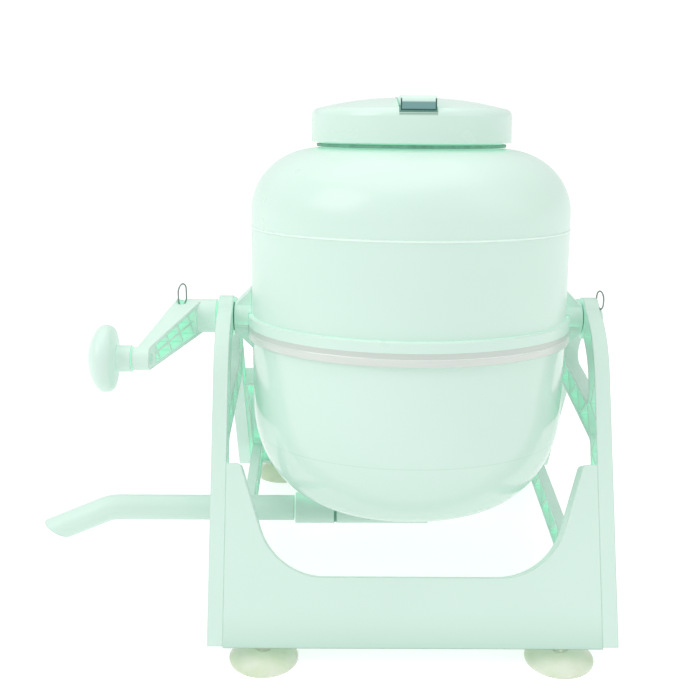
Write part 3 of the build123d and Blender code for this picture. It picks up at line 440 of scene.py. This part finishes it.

# ---------------------------------------------------------------- small piece standing in for shade


def turned(name, outline, material, body, steps=128):
    """A piece turned about the drum's axis from a closed outline of radius and height."""
    mesh = bpy.data.meshes.new(name)
    shape = bmesh.new()
    rings = []
    for i in range(steps):
        a = 2 * math.pi * i / steps
        rings.append(
            [shape.verts.new(on_drum(r * math.cos(a), r * math.sin(a), h)) for r, h in outline]
        )
    for i in range(steps):
        here, after = rings[i], rings[(i + 1) % steps]
        for j in range(len(outline)):
            k = (j + 1) % len(outline)
            face = shape.faces.new((here[j], here[k], after[k], after[j]))
            face.smooth = True
    bmesh.ops.recalc_face_normals(shape, faces=shape.faces)
    shape.to_mesh(mesh)
    shape.free()
    piece = bpy.data.objects.new(name, mesh)
    bpy.context.scene.collection.objects.link(piece)
    mesh.materials.append(material)
    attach(piece, body)


RING_IN = 0.0743           # just outside the neck
RING_OUT = 0.0776
RING_LOW = 0.1421
RING_TOP = 0.1446          # clear of the lid's skirt
RING_BREAK = (0.0005, 0.0004)   # broken outer corners, across and along the axis

# Painted shade: a dark ring at the foot of the neck, so the shadow gap under the lid's skirt shows as
# a thin dark line.
turned(
    "neck_shade_ring",
    (
        (RING_IN, RING_LOW),
        (RING_OUT - RING_BREAK[0], RING_LOW),
        (RING_OUT, RING_LOW + RING_BREAK[1]),
        (RING_OUT, RING_TOP - RING_BREAK[1]),
        (RING_OUT - RING_BREAK[0], RING_TOP),
        (RING_IN, RING_TOP),
    ),
    gap_shade_rubber,
    "drum",
)

# ---------------------------------------------------------------- floor, light and camera

FLOOR_SIZE = 20.0
FLOOR_GLOW = 0.64
LAMP_AIM = (0, 0, 0.2)
ROOM_LIGHT = 0.71
ROOM_SEEN = 1.0
LENS = 58.52
CAMERA_AT = Vector((-0.0624, -0.8954, 0.5419))
ELEVATION = math.radians(20.75)
HEADING = math.radians(0.52)
ROLL = math.radians(0.53)

floor_mesh = bpy.data.meshes.new("floor")
shape = bmesh.new()
bmesh.ops.create_grid(shape, x_segments=24, y_segments=24, size=FLOOR_SIZE)
shape.to_mesh(floor_mesh)
shape.free()
floor = bpy.data.objects.new("floor", floor_mesh)
bpy.context.scene.collection.objects.link(floor)
floor_finish = Nodes("studio_floor")
speckle = floor_finish.noise(floor_finish.coords(), 3.0)
floor_finish.drive(Base_Color=floor_finish.mix(speckle, *FLOOR_TONES))
floor_finish.set(Roughness=0.8, Emission_Color=(1, 1, 1, 1), Emission_Strength=FLOOR_GLOW)
floor_mesh.materials.append(floor_finish.mat)


def soft_light(name, at, size, power):
    """A square soft light aimed at the washer."""
    data = bpy.data.lights.new(name, "AREA")
    data.shape = "SQUARE"
    data.size = size
    data.energy = power
    lamp = bpy.data.objects.new(name, data)
    lamp.location = at
    lamp.rotation_mode = "QUATERNION"
    lamp.rotation_quaternion = (Vector(LAMP_AIM) - Vector(at)).to_track_quat("-Z", "Y")
    bpy.context.scene.collection.objects.link(lamp)


soft_light("key", (-1.8, -0.9, 1.7), 1.4, 15)
soft_light("fill", (1.9, -0.8, 1.3), 1.6, 6)
soft_light("top", (-0.1, 0.2, 1.9), 2.0, 13.5)

world = bpy.data.worlds.new("studio")
bpy.context.scene.world = world
world.use_nodes = True
room = world.node_tree
backdrop = room.nodes["Background"]
backdrop.inputs["Color"].default_value = (1, 1, 1, 1)
# The room is seen white, and lights the washer at a lower strength.
seen = room.nodes.new("ShaderNodeLightPath")
strength = room.nodes.new("ShaderNodeMapRange")
strength.inputs["To Min"].default_value = ROOM_LIGHT
strength.inputs["To Max"].default_value = ROOM_SEEN
room.links.new(seen.outputs["Is Camera Ray"], strength.inputs["Value"])
room.links.new(strength.outputs["Result"], backdrop.inputs["Strength"])

camera_data = bpy.data.cameras.new("camera")
camera_data.sensor_width = 36.0
camera_data.lens = LENS
camera_data.clip_start = 0.01
camera = bpy.data.objects.new("camera", camera_data)
bpy.context.scene.collection.objects.link(camera)
bpy.context.scene.camera = camera
ahead = Vector(
    (
        math.sin(HEADING) * math.cos(ELEVATION),
        math.cos(HEADING) * math.cos(ELEVATION),
        -math.sin(ELEVATION),
    )
)
across = Vector((math.cos(HEADING), -math.sin(HEADING), 0))
above = across.cross(ahead)
right = across * math.cos(ROLL) + above * math.sin(ROLL)
top = above * math.cos(ROLL) - across * math.sin(ROLL)
turn = Matrix((right, top, -ahead)).transposed()
camera.matrix_world = Matrix.Translation(CAMERA_AT) @ turn.to_4x4()

bpy.context.scene.view_settings.view_transform = "Standard"
